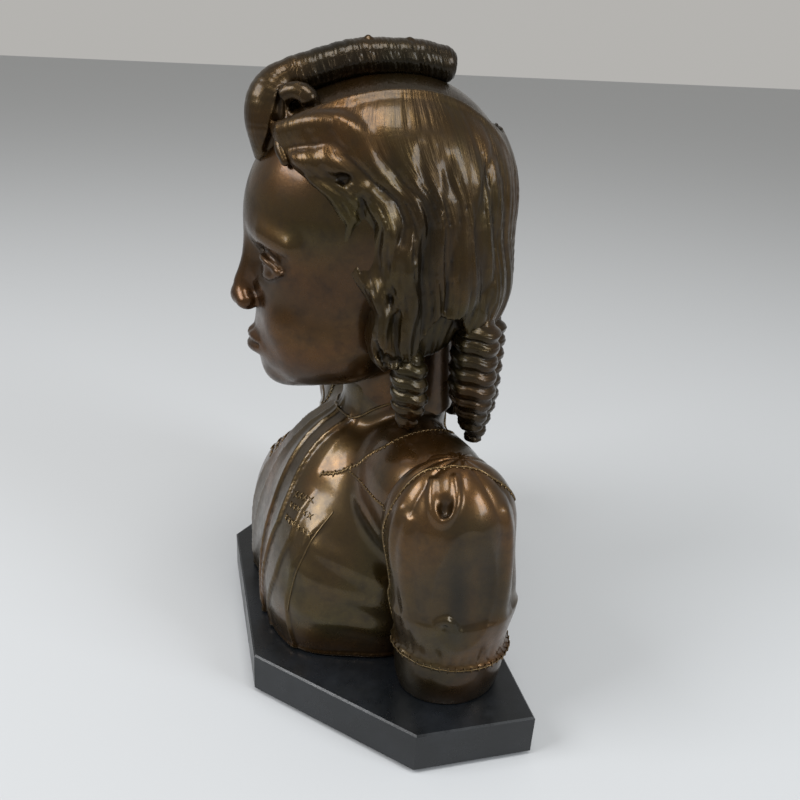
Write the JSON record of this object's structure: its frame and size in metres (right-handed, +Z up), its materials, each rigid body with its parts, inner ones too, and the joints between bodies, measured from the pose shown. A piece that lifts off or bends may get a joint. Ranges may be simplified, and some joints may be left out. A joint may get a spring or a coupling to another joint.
{
  "type": "bust",
  "caption": "Hollow cast metal bust of a child with a roll of hair, hanging curls and a puff-sleeved dress, bolted to a six-sided polished stone slab",
  "frame": {"origin": "on the felt's underside, on the plane of symmetry, below the neck", "axes": "+Z up; the face looks along -Y; +X is the child's left"},
  "size_m": [0.35, 0.1999, 0.4499],
  "materials": {
    "bronze": "brown patina under a gloss lacquer, nearly black in the hollows",
    "stone": "polished black stone with a satin top",
    "felt": "glued baize",
    "steel": "zinc-plated hardware"
  },
  "bodies": {
    "root": {"torso_casting": "bronze", "head_front_casting": "bronze", "head_back_casting": "bronze", "hair_roll_casting": "bronze", "roll_dowel_front": "bronze", "roll_dowel_back": "bronze", "neck_pin_front": "bronze", "neck_pin_back": "bronze", "stone_slab": "stone", "felt_sheet": "felt", "cross_bar": "steel", "bar_screw_left": "steel", "bar_screw_right": "steel", "mounting_stud_left": "steel", "mounting_stud_right": "steel", "bar_nut_left": "steel", "bar_nut_right": "steel", "slab_washer_left": "steel", "slab_washer_right": "steel", "slab_nut_left": "steel", "slab_nut_right": "steel"}
  },
  "joints": []
}
